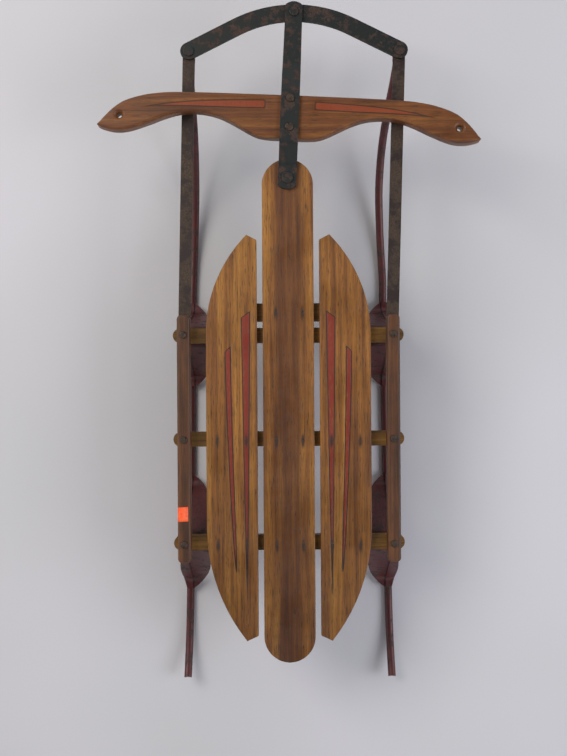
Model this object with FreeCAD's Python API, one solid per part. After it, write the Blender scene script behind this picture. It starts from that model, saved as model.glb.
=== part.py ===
import FreeCAD, Part
import math
import os
from FreeCAD import Vector

os.makedirs("parts", exist_ok=True)

# Steerable wooden sled, about 40 inches long. Millimetres, +Z up.
# X runs across the sled, +Y points to the steering bow, Z = 0 is the ground under the runners.

# ---- driving sizes ----
overall_length = 1016.0
deck_top = 150.0
board_width = 74.4
board_thick = 11.0
board_gap = 8.3
centre_board_front = 280.0
centre_board_rear = -451.0
side_board_front_tip = 170.4
side_board_rear_tip = -419.7
side_board_front_shoulder = 25.0
side_board_rear_shoulder = -253.0
front_tip_inset = 14.8
rear_tip_inset = 16.5
tip_shoulder_drop = 7.5

bench_width = 21.5
bench_height = 20.0
bench_half_length = 168.7
front_bench_y = 25.0
bench_pitch = 151.5
cleat_y = 58.5
cleat_width = 26.0
cleat_height = 12.0
cleat_half_length = 105.0

rail_width = 19.0
rail_height = 19.0
rail_x = 151.7
rail_overhang_front = 28.6
rail_overhang_rear = 27.0

runner_rear_x = 157.0
runner_front_x = 152.2
runner_width = 11.6
runner_height = 10.0
groove_width = 4.6
groove_depth = 3.6
tail_start_y = -395.0
tail_rise = 22.0
tail_splay = 3.0
flex_y = 97.0
sweep_start_y = 120.0
sweep_end_y = 425.0
upper_bend_radius = 45.0
left_runner_bow = 3.0
right_runner_bow = 13.0

front_knee_reach_front = 60.0
front_knee_reach_rear = 72.0
rear_knee_reach = 90.0
knee_sheet = 3.0
knee_pad_half = 13.0
knee_foot_length = 16.0
knee_pad_outer = 7.6
knee_belly = 12.0
knee_rib_width = 8.0
knee_rib_rise = 2.0

steer_pivot_y = 252.0
bow_pin_y = 493.0
bow_half_span = 153.3
bow_width = 24.4
bow_thick = 4.0
bow_arm_slope = 26.5
bow_bend_radius = 188.0
strap_width = 17.7
strap_thick = 3.5
bar_width = 26.7
bar_nose_width = 24.5
bar_thick = 4.5
bar_rear_y = 235.4
handle_height = 20.0
handle_lift = 5.2
handle_edge_round = 4.0
rope_hole_radius = 4.0
rope_hole_x = 244.5
rope_hole_y = 329.3
rope_sink_radius = 7.5
rope_sink_depth = 3.5

# The bow parks slightly steered: turned clockwise seen from above.
rest_angle = -2.6

# ---- clearances ----
slip = 0.3
pin_fit = 0.05
link_play = 2.4

# ---- pins and bolts ----
rail_bolt_radius = 3.0
rail_bolt_head = 5.2
nut_radius = 6.0
nut_height = 3.0
bolt_head_height = 2.2
pivot_pin_radius = 4.0
pivot_head_radius = 8.5
link_pin_radius = 3.5
link_head_radius = 8.0
nose_head_radius = 6.6
handle_bolt_front_y = 361.5
handle_bolt_rear_y = 320.0

# ---- derived sizes ----
bench_top = deck_top - board_thick
bench_bottom = bench_top - bench_height
middle_bench_y = front_bench_y - bench_pitch
rear_bench_y = middle_bench_y - bench_pitch
rail_top = bench_top + rail_height
side_board_inner = board_width / 2.0 + board_gap
side_board_outer = side_board_inner + board_width
strap_low = bench_top + slip
strap_high = strap_low + strap_thick
bow_low = strap_high + slip
bow_high = bow_low + bow_thick
bar_nose_low = bow_high + slip
bar_heel_low = deck_top + slip
handle_low = strap_high + handle_lift
handle_high = handle_low + handle_height
slope = math.radians(bow_arm_slope)
bow_drop = bow_half_span * math.tan(slope) - bow_bend_radius * (1.0 / math.cos(slope) - 1.0)
link_y = bow_pin_y - bow_drop
bar_front_y = overall_length / 2.0
tail_end_y = -overall_length / 2.0
steer_length = bow_pin_y - steer_pivot_y
strap_ratio = steer_length / (link_y - front_bench_y)
runner_ratio = steer_length / (link_y - flex_y)
tab_top = strap_low - slip
tab_thick = 4.0


def save(node, shape):
    """One STEP file for each named piece."""
    shape.exportStep("parts/" + node + ".step")


def cylinder(x, y, radius, low, high):
    return Part.makeCylinder(radius, high - low, Vector(x, y, low))


def joined(shapes):
    result = shapes[0]
    for shape in shapes[1:]:
        result = result.fuse(shape)
    return result.removeSplitter()


def grouped(shapes):
    return Part.makeCompound(shapes)


def flat_face(edges):
    return Part.Face(Part.Wire(Part.__sortEdges__(edges)))


def polygon_edges(points):
    closed = points + [points[0]]
    return [Part.makeLine(closed[i], closed[i + 1]) for i in range(len(points))]


def plan_prism(edges, low, high):
    """Closed plan outline drawn at Z = 0, pulled up between two heights."""
    solid = flat_face(edges).extrude(Vector(0, 0, high - low))
    solid.translate(Vector(0, 0, low))
    return solid


def mirrored(shape):
    return shape.mirror(Vector(0, 0, 0), Vector(1, 0, 0))


def turned(shape, x, y, degrees):
    copy = shape.copy()
    copy.rotate(Vector(x, y, 0), Vector(0, 0, 1), degrees)
    return copy


def softened(solid, radius, picks):
    """Rounds the picked edges and keeps the plain solid if the rounding does not close."""
    try:
        result = solid.makeFillet(radius, picks)
        if result.isValid() and result.Volume > 0:
            return result
    except Exception:
        pass
    return solid


def edges_at_height(solid, height):
    found = []
    for edge in solid.Edges:
        box = edge.BoundBox
        if abs(box.ZMin - height) < 0.01 and abs(box.ZMax - height) < 0.01:
            found.append(edge)
    return found


def bent_side(points, radii, shift):
    """Edges of a bent path moved sideways by shift; points are (u, v) pairs."""
    corners = []
    count = len(points)
    for i in range(count):
        here = points[i]
        if i == 0 or i == count - 1:
            ahead = points[1] if i == 0 else here
            behind = here if i == 0 else points[i - 1]
            du = ahead[0] - behind[0]
            dv = ahead[1] - behind[1]
            size = math.hypot(du, dv)
            spot = (here[0] - dv / size * shift, here[1] + du / size * shift)
            corners.append([spot])
            continue
        before = points[i - 1]
        after = points[i + 1]
        a = math.atan2(here[1] - before[1], here[0] - before[0])
        b = math.atan2(after[1] - here[1], after[0] - here[0])
        bend = math.atan2(math.sin(b - a), math.cos(b - a))
        side = 1.0 if bend > 0 else -1.0
        radius = radii[i]
        reach = radius * math.tan(abs(bend) / 2.0)
        start = (here[0] - math.cos(a) * reach, here[1] - math.sin(a) * reach)
        centre = (start[0] - math.sin(a) * radius * side, start[1] + math.cos(a) * radius * side)
        arc_radius = radius - side * shift
        spots = []
        for part in (0.0, 0.5, 1.0):
            angle = a + bend * part
            u = centre[0] + math.sin(angle) * arc_radius * side
            v = centre[1] - math.cos(angle) * arc_radius * side
            spots.append((u, v))
        corners.append(spots)
    return corners


def bent_strip(points, radii, thick, place):
    """Closed outline of a bent strip; place turns (u, v) into a point in space."""
    left = bent_side(points, radii, thick / 2.0)
    right = bent_side(points, radii, -thick / 2.0)
    edges = []
    for chain in (left, right):
        last = place(*chain[0][0])
        for spots in chain[1:]:
            first = place(*spots[0])
            if last.distanceToPoint(first) > 0.001:
                edges.append(Part.makeLine(last, first))
            last = first
            if len(spots) == 3:
                arc = Part.Arc(first, place(*spots[1]), place(*spots[2]))
                edges.append(arc.toShape())
                last = place(*spots[2])
    edges.append(Part.makeLine(place(*left[0][0]), place(*right[0][0])))
    edges.append(Part.makeLine(place(*left[-1][0]), place(*right[-1][0])))
    return edges


def side_place(x):
    return lambda y, z: Vector(x, y, z)


def plan_place(x, y):
    return Vector(x, y, 0)


def side_prism(edges, x_low, x_high):
    solid = flat_face(edges).extrude(Vector(x_high - x_low, 0, 0))
    solid.translate(Vector(x_low, 0, 0))
    return solid


def curve_band(spots, half_width, low, high):
    """Upright wall that follows (x, y) spots in plan, half_width to each side."""
    lines = []
    for shift in (-half_width, half_width):
        line = Part.BSplineCurve()
        line.interpolate([Vector(x + shift, y, 0) for x, y in spots])
        lines.append(line.toShape())
    first = spots[0]
    last = spots[-1]
    lines.append(Part.makeLine(Vector(first[0] - half_width, first[1], 0), Vector(first[0] + half_width, first[1], 0)))
    lines.append(Part.makeLine(Vector(last[0] - half_width, last[1], 0), Vector(last[0] + half_width, last[1], 0)))
    return plan_prism(lines, low, high)


def runner_x(y):
    """The runners toe in slightly towards the front."""
    share = (y - rear_bench_y) / (flex_y - rear_bench_y)
    return runner_rear_x + (runner_front_x - runner_rear_x) * share


# ---- deck boards ----

def centre_board():
    half = board_width / 2.0
    front = centre_board_front - half
    rear = centre_board_rear + half
    edges = [
        Part.makeLine(Vector(half, rear, 0), Vector(half, front, 0)),
        Part.Arc(Vector(half, front, 0), Vector(0, front + half, 0), Vector(-half, front, 0)).toShape(),
        Part.makeLine(Vector(-half, front, 0), Vector(-half, rear, 0)),
        Part.Arc(Vector(-half, rear, 0), Vector(0, rear - half, 0), Vector(half, rear, 0)).toShape(),
    ]
    board = plan_prism(edges, bench_top, deck_top)
    board = softened(board, 1.5, edges_at_height(board, deck_top))
    hole = cylinder(0, steer_pivot_y, pivot_pin_radius, bench_top - 1, deck_top + 1)
    return board.cut(hole)


def tip_arc(start_y, tip_x, tip_y):
    """Arc that leaves the outer edge of a side board square and ends at the tip."""
    inset = side_board_outer - tip_x
    run = tip_y - start_y
    radius = (inset * inset + run * run) / (2.0 * inset)
    centre_x = side_board_outer - radius
    angle = math.atan2(run, tip_x - centre_x) / 2.0
    middle = Vector(centre_x + radius * math.cos(angle), start_y + radius * math.sin(angle), 0)
    return Part.Arc(Vector(side_board_outer, start_y, 0), middle, Vector(tip_x, tip_y, 0)).toShape()


def side_board():
    front_tip_x = side_board_inner + front_tip_inset
    rear_tip_x = side_board_inner + rear_tip_inset
    inner_front = Vector(side_board_inner, side_board_front_tip - tip_shoulder_drop, 0)
    inner_rear = Vector(side_board_inner, side_board_rear_tip + tip_shoulder_drop, 0)
    front_tip = Vector(front_tip_x, side_board_front_tip, 0)
    rear_tip = Vector(rear_tip_x, side_board_rear_tip, 0)
    outer_front = Vector(side_board_outer, side_board_front_shoulder, 0)
    outer_rear = Vector(side_board_outer, side_board_rear_shoulder, 0)
    edges = [
        Part.makeLine(inner_rear, inner_front),
        Part.makeLine(inner_front, front_tip),
        tip_arc(side_board_front_shoulder, front_tip_x, side_board_front_tip),
        Part.makeLine(outer_front, outer_rear),
        tip_arc(side_board_rear_shoulder, rear_tip_x, side_board_rear_tip),
        Part.makeLine(rear_tip, inner_rear),
    ]
    board = plan_prism(edges, bench_top, deck_top)
    return softened(board, 1.5, edges_at_height(board, deck_top))


# ---- cross pieces and rails ----

def round_ended_bar(y, half_length, width, low, high):
    half = width / 2.0
    straight = half_length - half
    edges = [
        Part.makeLine(Vector(-straight, y + half, 0), Vector(straight, y + half, 0)),
        Part.Arc(Vector(straight, y + half, 0), Vector(half_length, y, 0), Vector(straight, y - half, 0)).toShape(),
        Part.makeLine(Vector(straight, y - half, 0), Vector(-straight, y - half, 0)),
        Part.Arc(Vector(-straight, y - half, 0), Vector(-half_length, y, 0), Vector(-straight, y + half, 0)).toShape(),
    ]
    return plan_prism(edges, low, high)


def bench(y):
    bar = round_ended_bar(y, bench_half_length, bench_width, bench_bottom, bench_top)
    bar = softened(bar, 1.5, edges_at_height(bar, bench_bottom))
    for x in (-rail_x, rail_x):
        bar = bar.cut(cylinder(x, y, rail_bolt_radius, bench_bottom - 1, bench_top + 1))
    return bar


def front_cleat():
    low = bench_top - cleat_height
    return Part.makeBox(2 * cleat_half_length, cleat_width, cleat_height, Vector(-cleat_half_length, cleat_y - cleat_width / 2.0, low))


def rail():
    front = front_bench_y + rail_overhang_front
    rear = rear_bench_y - rail_overhang_rear
    low_x = rail_x - rail_width / 2.0
    body = Part.makeBox(rail_width, front - rear, rail_height, Vector(low_x, rear, bench_top))
    uprights = []
    for edge in body.Edges:
        if abs(edge.BoundBox.ZLength - rail_height) < 0.01:
            uprights.append(edge)
    body = softened(body, 6.5, uprights)
    body = softened(body, 3.5, edges_at_height(body, rail_top))
    rebate_rear = front_bench_y - strap_width / 2.0 - 4.0
    rebate_high = strap_high + slip
    rebate = Part.makeBox(rail_width + 2, front - rebate_rear + 1, rebate_high - bench_top + 1)
    rebate.translate(Vector(low_x - 1, rebate_rear, bench_top - 1))
    body = body.cut(rebate)
    for y in (front_bench_y, middle_bench_y, rear_bench_y):
        body = body.cut(cylinder(rail_x, y, rail_bolt_radius, bench_top - 1, rail_top + 1))
    return body


# ---- runners and knees ----

def runner_rear():
    low = Vector(0, flex_y, 0)
    bend_centre_z = (tail_rise ** 2 + (tail_start_y - tail_end_y) ** 2) / (2.0 * tail_rise)
    sweep = math.asin((tail_start_y - tail_end_y) / bend_centre_z)

    def tail_spot(angle, lift):
        radius = bend_centre_z - lift
        return Vector(0, tail_start_y - radius * math.sin(angle), bend_centre_z - radius * math.cos(angle))

    def side_outline(height):
        top = Vector(0, flex_y, height)
        bend_low = Vector(0, tail_start_y, 0)
        bend_high = Vector(0, tail_start_y, height)
        return [
            Part.makeLine(low, bend_low),
            Part.Arc(bend_low, tail_spot(sweep / 2, 0), tail_spot(sweep, 0)).toShape(),
            Part.makeLine(tail_spot(sweep, 0), tail_spot(sweep, height)),
            Part.Arc(tail_spot(sweep, height), tail_spot(sweep / 2, height), bend_high).toShape(),
            Part.makeLine(bend_high, top),
            Part.makeLine(top, low),
        ]

    def plan_band(half):
        bend_y = tail_start_y + 20.0
        bend_x = runner_x(bend_y)
        front_end = flex_y + 1
        rear_end = tail_end_y - 1
        tail_x = bend_x + tail_splay
        spots = [
            Vector(runner_x(front_end) + half, front_end, 0),
            Vector(bend_x + half, bend_y, 0),
            Vector(tail_x + half, rear_end, 0),
            Vector(tail_x - half, rear_end, 0),
            Vector(bend_x - half, bend_y, 0),
            Vector(runner_x(front_end) - half, front_end, 0),
        ]
        return plan_prism(polygon_edges(spots), -5, 80)

    strip = side_prism(side_outline(runner_height), 100, 200)
    strip = strip.common(plan_band(runner_width / 2.0))
    groove = side_prism(side_outline(groove_depth), 100, 200)
    groove = groove.common(plan_band(groove_width / 2.0))
    strip = strip.cut(groove)
    socket = cylinder(runner_front_x, flex_y, runner_width / 2.0 + slip, -1, runner_height + 1)
    return strip.cut(socket)


def runner_front(bow_in):
    """Front sweep of a runner, drawn straight ahead; bow_in is how far it springs inwards."""
    tab_low = tab_top - tab_thick
    rise = tab_top - runner_height
    half_angle = math.atan2(rise, sweep_end_y - sweep_start_y)
    angle = 2.0 * half_angle
    both = rise / (1.0 - math.cos(angle))
    sweep_radius = both - upper_bend_radius
    corner_1 = sweep_start_y + sweep_radius * math.tan(half_angle)
    corner_2 = sweep_end_y - upper_bend_radius * math.tan(half_angle)

    def side_outline(thick, middle):
        path = [
            (flex_y - 12.0, middle),
            (corner_1, middle),
            (corner_2, middle + rise),
            (sweep_end_y + 0.5, middle + rise),
        ]
        radii = [0, sweep_radius + (runner_height / 2.0 - middle), upper_bend_radius - (runner_height / 2.0 - middle), 0]
        return bent_strip(path, radii, thick, side_place(0))

    middle_y = (flex_y + link_y) / 2.0
    spots = [
        (runner_front_x - (flex_y - runner_front_x) * 0.0, flex_y - 13.0),
        (runner_front_x, flex_y),
        (runner_front_x - 0.62 * bow_in, flex_y + 0.3 * (link_y - flex_y)),
        (runner_front_x - bow_in, middle_y),
        (runner_front_x - 0.9 * bow_in, flex_y + 0.7 * (link_y - flex_y)),
        (bow_half_span - 0.15 * bow_in, sweep_end_y),
        (bow_half_span, link_y + 10.0),
    ]
    strip = side_prism(side_outline(runner_height, runner_height / 2.0), 100, 200)
    strip = strip.common(curve_band(spots, runner_width / 2.0, -5, 200))
    groove = side_prism(side_outline(groove_depth, groove_depth / 2.0), 100, 200)
    groove = groove.common(curve_band(spots, groove_width / 2.0, -5, 200))
    strip = strip.cut(groove)
    back = Part.makeBox(60, 40, 40, Vector(runner_front_x - 30, flex_y - 40, -10))
    strip = strip.cut(back)
    knuckle = cylinder(runner_front_x, flex_y, runner_width / 2.0, 0, runner_height)
    strip = strip.fuse(knuckle)
    half = strap_width / 2.0
    tab = Part.makeBox(strap_width, link_y - sweep_end_y + 6, tab_thick, Vector(bow_half_span - half, sweep_end_y - 6, tab_low))
    tab = tab.fuse(cylinder(bow_half_span, link_y, half, tab_low, tab_top))
    whole = joined([strip, tab])
    return whole.cut(cylinder(bow_half_span, link_y, link_pin_radius + link_play, tab_low - 1, tab_top + 1))


def knee(bench_y, reach_front, reach_rear):
    """Pressed sheet knee: pad under the bench and two spread legs that stand on the runner."""
    middle = knee_sheet / 2.0
    pad_z = bench_bottom - middle
    foot_z = runner_height + middle
    path = [
        (bench_y - reach_rear, foot_z),
        (bench_y - reach_rear + knee_foot_length, foot_z),
        (bench_y - knee_pad_half, pad_z),
        (bench_y + knee_pad_half, pad_z),
        (bench_y + reach_front - knee_foot_length, foot_z),
        (bench_y + reach_front, foot_z),
    ]
    radii = [0, 14.0, 7.0, 7.0, 14.0, 0]
    sheet = side_prism(bent_strip(path, radii, knee_sheet, side_place(0)), 90, 200)
    centre = runner_x(bench_y)
    outer = centre + knee_belly
    foot_half = runner_width / 2.0

    def edge_spots(end):
        reach = reach_front if end > 0 else reach_rear
        return [
            (outer, bench_y + end * (reach - 34.0)),
            (outer - 2.2, bench_y + end * (reach - 14.0)),
            (centre + foot_half, bench_y + end * reach),
            (centre - foot_half, bench_y + end * reach),
            (centre - 18.0, bench_y + end * (reach - 10.5)),
            (centre - 31.0, bench_y + end * (reach - 30.0)),
        ]

    front = edge_spots(1)
    rear = edge_spots(-1)
    outer_line = Part.BSplineCurve()
    pad_outer = (rail_x + knee_pad_outer, bench_y)
    outer_spots = [rear[2], rear[1], rear[0], pad_outer, front[0], front[1], front[2]]
    outer_line.interpolate([Vector(x, y, 0) for x, y in outer_spots])
    inner_line = Part.BSplineCurve()
    inner_spots = [rear[3], rear[4], rear[5], (centre - 37.0, bench_y), front[5], front[4], front[3]]
    inner_line.interpolate([Vector(x, y, 0) for x, y in inner_spots])
    ends = [
        Part.makeLine(Vector(front[2][0], front[2][1], 0), Vector(front[3][0], front[3][1], 0)),
        Part.makeLine(Vector(rear[2][0], rear[2][1], 0), Vector(rear[3][0], rear[3][1], 0)),
    ]
    leaf = plan_prism([outer_line.toShape(), inner_line.toShape()] + ends, 0, 140)
    sheet = sheet.common(leaf)
    rib_edges = bent_strip(path, radii, knee_sheet + 2 * knee_rib_rise, side_place(0))
    half_rib = knee_rib_width / 2.0
    rib = side_prism(rib_edges, centre - half_rib, centre + half_rib)
    reach = max(reach_front, reach_rear) + 1
    rib = rib.common(Part.makeBox(60, 2 * reach, bench_bottom - runner_height, Vector(centre - 30, bench_y - reach, runner_height)))
    keep_clear = knee_pad_half + 3.0
    rib = rib.cut(Part.makeBox(60, 2 * keep_clear, 40, Vector(centre - 30, bench_y - keep_clear, bench_bottom - 30)))
    sheet = joined([sheet, rib])
    return sheet.cut(cylinder(rail_x, bench_y, rail_bolt_radius, bench_bottom - 20, bench_bottom + 5))


# ---- steering parts, all drawn straight ahead ----

def strap():
    half = strap_width / 2.0
    dx = bow_half_span - rail_x
    dy = link_y - front_bench_y
    length = math.hypot(dx, dy)
    body = Part.makeBox(strap_width, length, strap_thick, Vector(-half, 0, strap_low))
    body = body.fuse(cylinder(0, 0, half, strap_low, strap_high))
    body = body.fuse(cylinder(0, length, half, strap_low, strap_high)).removeSplitter()
    body = body.cut(cylinder(0, 0, rail_bolt_radius + pin_fit, strap_low - 1, strap_high + 1))
    body = body.cut(cylinder(0, length, link_pin_radius + link_play, strap_low - 1, strap_high + 1))
    body.rotate(Vector(0, 0, 0), Vector(0, 0, 1), -math.degrees(math.atan2(dx, dy)))
    body.translate(Vector(rail_x, front_bench_y, 0))
    return body


def bow():
    peak = link_y + bow_half_span * math.tan(slope)
    path = [(-bow_half_span, link_y), (0, peak), (bow_half_span, link_y)]
    edges = bent_strip(path, [0, bow_bend_radius, 0], bow_width, plan_place)
    body = plan_prism(edges, bow_low, bow_high)
    for x in (-bow_half_span, bow_half_span):
        body = body.fuse(cylinder(x, link_y, bow_width / 2.0, bow_low, bow_high))
    body = body.removeSplitter()
    for x in (-bow_half_span, bow_half_span):
        body = body.cut(cylinder(x, link_y, link_pin_radius, bow_low - 1, bow_high + 1))
    return body.cut(cylinder(0, bow_pin_y, link_pin_radius, bow_low - 1, bow_high + 1))


def bow_rivets():
    tab_low = tab_top - tab_thick
    pins = []
    for x in (-bow_half_span, bow_half_span):
        shaft = cylinder(x, link_y, link_pin_radius, tab_low - slip - 2.4, bow_high + 1)
        foot = cylinder(x, link_y, link_head_radius, tab_low - slip - 2.4, tab_low - slip)
        head = cylinder(x, link_y, link_head_radius, bow_high, bow_high + bolt_head_height)
        head = softened(head, 1.2, edges_at_height(head, bow_high + bolt_head_height))
        pins.append(joined([shaft, foot, head]))
    nose_high = bar_nose_low + bar_thick + slip
    shaft = cylinder(0, bow_pin_y, link_pin_radius, bow_low - 2.2, nose_high + 1)
    foot = cylinder(0, bow_pin_y, nose_head_radius, bow_low - 2.2, bow_low)
    head = cylinder(0, bow_pin_y, nose_head_radius, nose_high, nose_high + bolt_head_height)
    head = softened(head, 1.2, edges_at_height(head, nose_high + bolt_head_height))
    pins.append(joined([shaft, foot, head]))
    return grouped(pins)


def centre_bar():
    middle = bar_thick / 2.0
    heel = bar_heel_low + middle
    crest = handle_high + middle
    nose = bar_nose_low + middle
    path = [
        (bar_rear_y, heel),
        (272.0, heel),
        (299.0, crest),
        (373.0, crest),
        (416.0, nose),
        (bar_front_y, nose),
    ]
    radii = [0, 14.0, 10.0, 10.0, 24.0, 0]
    strip = side_prism(bent_strip(path, radii, bar_thick, side_place(0)), -40, 40)
    half = bar_width / 2.0
    nose_half = bar_nose_width / 2.0
    nose_arc = bar_front_y - 5.0
    heel_arc = bar_rear_y + 5.0
    edges = [
        Part.makeLine(Vector(half, heel_arc, 0), Vector(half, 400, 0)),
        Part.makeLine(Vector(half, 400, 0), Vector(nose_half, nose_arc, 0)),
        Part.Arc(Vector(nose_half, nose_arc, 0), Vector(0, bar_front_y, 0), Vector(-nose_half, nose_arc, 0)).toShape(),
        Part.makeLine(Vector(-nose_half, nose_arc, 0), Vector(-half, 400, 0)),
        Part.makeLine(Vector(-half, 400, 0), Vector(-half, heel_arc, 0)),
        Part.Arc(Vector(-half, heel_arc, 0), Vector(0, bar_rear_y, 0), Vector(half, heel_arc, 0)).toShape(),
    ]
    body = strip.common(plan_prism(edges, 100, 200))
    body = body.cut(cylinder(0, steer_pivot_y, pivot_pin_radius + pin_fit, 140, 190))
    body = body.cut(cylinder(0, bow_pin_y, link_pin_radius + pin_fit, 140, 190))
    for y in (handle_bolt_front_y, handle_bolt_rear_y):
        body = body.cut(cylinder(0, y, rail_bolt_radius, 140, 190))
    return body


def steering_handle():
    front = [(0, 367.5), (54, 367.3), (109, 367.0), (161, 366.0), (182, 364.6), (209, 360.3), (237, 351.0), (253, 340.0), (267, 325.5), (275.5, 314.5)]
    rear = [(275.5, 314.5), (268.5, 311.6), (254.5, 308.6), (240, 308.7), (224, 312.6), (201, 321.4), (181, 330.0), (160, 336.6), (141, 339.0)]
    rear = rear + [(125, 338.5), (106.5, 335.2), (88, 328.3), (71, 319.6), (56, 311.9), (44, 307.3), (30, 305.4), (14, 305.0), (0, 305.0)]

    def both_sides(points):
        left = [(-x, y) for x, y in reversed(points)]
        return left + points[1:]

    lines = []
    for chain in (both_sides(front), both_sides(list(reversed(rear)))):
        line = Part.BSplineCurve()
        line.interpolate([Vector(x, y, 0) for x, y in chain])
        lines.append(line.toShape())
    body = plan_prism(lines, handle_low, handle_high)
    body = softened(body, handle_edge_round, edges_at_height(body, handle_high))
    body = softened(body, handle_edge_round, edges_at_height(body, handle_low))
    for x in (-rope_hole_x, rope_hole_x):
        body = body.cut(cylinder(x, rope_hole_y, rope_hole_radius, handle_low - 1, handle_high + 1))
        sink = Part.makeCone(rope_hole_radius, rope_sink_radius, rope_sink_depth)
        sink.translate(Vector(x, rope_hole_y, handle_high - rope_sink_depth))
        body = body.cut(sink)
    for y in (handle_bolt_front_y, handle_bolt_rear_y):
        body = body.cut(cylinder(0, y, rail_bolt_radius, handle_low - 1, handle_high + 1))
    return body


def handle_bolts():
    bolts = []
    top = handle_high + bar_thick
    for y in (handle_bolt_front_y, handle_bolt_rear_y):
        shaft = cylinder(0, y, rail_bolt_radius, handle_low - nut_height, top + 1)
        head = cylinder(0, y, nut_radius, top, top + bolt_head_height)
        head = softened(head, 1.6, edges_at_height(head, top + bolt_head_height))
        nut = cylinder(0, y, nut_radius - 0.5, handle_low - nut_height, handle_low)
        bolts.append(joined([shaft, head, nut]))
    return grouped(bolts)


# ---- fixed bolts ----

def steering_pin():
    head_low = bar_heel_low + bar_thick + slip
    shaft = cylinder(0, steer_pivot_y, pivot_pin_radius, bench_top - nut_height, head_low + 1)
    head = cylinder(0, steer_pivot_y, pivot_head_radius, head_low, head_low + bolt_head_height)
    head = softened(head, 1.2, edges_at_height(head, head_low + bolt_head_height))
    nut = cylinder(0, steer_pivot_y, pivot_head_radius, bench_top - nut_height, bench_top)
    return joined([shaft, head, nut])


def rail_bolts():
    bolts = []
    for x in (-rail_x, rail_x):
        for y in (front_bench_y, middle_bench_y, rear_bench_y):
            under = bench_bottom if y == middle_bench_y else bench_bottom - knee_sheet
            shaft = cylinder(x, y, rail_bolt_radius, under - nut_height, rail_top + 1)
            head = cylinder(x, y, rail_bolt_head, rail_top, rail_top + bolt_head_height)
            head = softened(head, 1.4, edges_at_height(head, rail_top + bolt_head_height))
            nut = cylinder(x, y, nut_radius, under - nut_height, under)
            bolts.append(joined([shaft, head, nut]))
    return grouped(bolts)


# ---- the pieces ----

save("centre_board", centre_board())
right_board = side_board()
save("right_side_board", right_board)
save("left_side_board", mirrored(right_board))
save("front_bench", bench(front_bench_y))
save("middle_bench", bench(middle_bench_y))
save("rear_bench", bench(rear_bench_y))
save("front_cleat", front_cleat())
right_rail = rail()
save("right_rail", right_rail)
save("left_rail", mirrored(right_rail))
save("rail_bolts", rail_bolts())
save("steering_pin", steering_pin())

right_runner = runner_rear()
save("right_runner", right_runner)
save("left_runner", mirrored(right_runner))
front_knee = knee(front_bench_y, front_knee_reach_front, front_knee_reach_rear)
rear_knee = knee(rear_bench_y, rear_knee_reach, rear_knee_reach)
save("right_front_knee", front_knee)
save("left_front_knee", mirrored(front_knee))
save("right_rear_knee", rear_knee)
save("left_rear_knee", mirrored(rear_knee))

strap_angle = rest_angle * strap_ratio
runner_angle = rest_angle * runner_ratio
right_strap = strap()
save("right_strap", turned(right_strap, rail_x, front_bench_y, strap_angle))
save("left_strap", turned(mirrored(right_strap), -rail_x, front_bench_y, strap_angle))
right_sweep = runner_front(right_runner_bow)
save("right_runner_front", turned(right_sweep, runner_front_x, flex_y, runner_angle))
left_sweep = mirrored(runner_front(left_runner_bow))
save("left_runner_front", turned(left_sweep, -runner_front_x, flex_y, runner_angle))

save("steering_handle", turned(steering_handle(), 0, steer_pivot_y, rest_angle))
save("centre_bar", turned(centre_bar(), 0, steer_pivot_y, rest_angle))
save("handle_bolts", turned(handle_bolts(), 0, steer_pivot_y, rest_angle))

# The bow keeps square to the sled: it shifts with the bar's front pin and does not turn.
rest = math.radians(rest_angle)
shift = Vector(-steer_length * math.sin(rest), steer_length * (math.cos(rest) - 1.0), 0)
for node, shape in (("bow", bow()), ("bow_rivets", bow_rivets())):
    shape.translate(shift)
    save(node, shape)

print("strap ratio", round(strap_ratio, 6), "runner ratio", round(runner_ratio, 6), "link y", round(link_y, 3))
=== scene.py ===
import bpy
import math
from mathutils import Matrix, Vector, noise


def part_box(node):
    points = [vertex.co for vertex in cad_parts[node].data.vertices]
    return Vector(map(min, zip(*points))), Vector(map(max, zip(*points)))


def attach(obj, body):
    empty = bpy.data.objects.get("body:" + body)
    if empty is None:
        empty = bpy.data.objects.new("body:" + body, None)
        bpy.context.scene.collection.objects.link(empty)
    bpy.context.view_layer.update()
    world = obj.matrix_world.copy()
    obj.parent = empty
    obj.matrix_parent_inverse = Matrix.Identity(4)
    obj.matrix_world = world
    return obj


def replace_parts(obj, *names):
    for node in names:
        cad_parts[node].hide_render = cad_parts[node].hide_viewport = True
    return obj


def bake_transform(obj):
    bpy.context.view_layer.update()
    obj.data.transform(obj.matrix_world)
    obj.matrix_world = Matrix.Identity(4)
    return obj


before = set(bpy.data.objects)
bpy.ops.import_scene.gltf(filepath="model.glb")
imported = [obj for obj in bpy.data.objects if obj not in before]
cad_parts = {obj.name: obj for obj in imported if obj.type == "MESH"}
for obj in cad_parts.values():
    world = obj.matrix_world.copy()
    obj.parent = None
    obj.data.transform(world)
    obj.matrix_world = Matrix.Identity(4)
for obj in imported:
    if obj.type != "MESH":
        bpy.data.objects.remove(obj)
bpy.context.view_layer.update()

scene = bpy.context.scene

rampNode, mixNode, mathNode = "ShaderNodeValToRGB", "ShaderNodeMix", "ShaderNodeMath"
blend = {"out": 2, "data_type": "RGBA"}
darken = {"out": 2, "data_type": "RGBA", "blend_type": "MULTIPLY"}
plus, times = {"operation": "ADD"}, {"operation": "MULTIPLY"}


def linearColour(code):
    parts = [int(code[i:i + 2], 16) / 255 for i in (1, 3, 5)]
    return [c / 12.92 if c <= 0.04045 else ((c + 0.055) / 1.055) ** 2.4 for c in parts] + [1.0]


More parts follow.
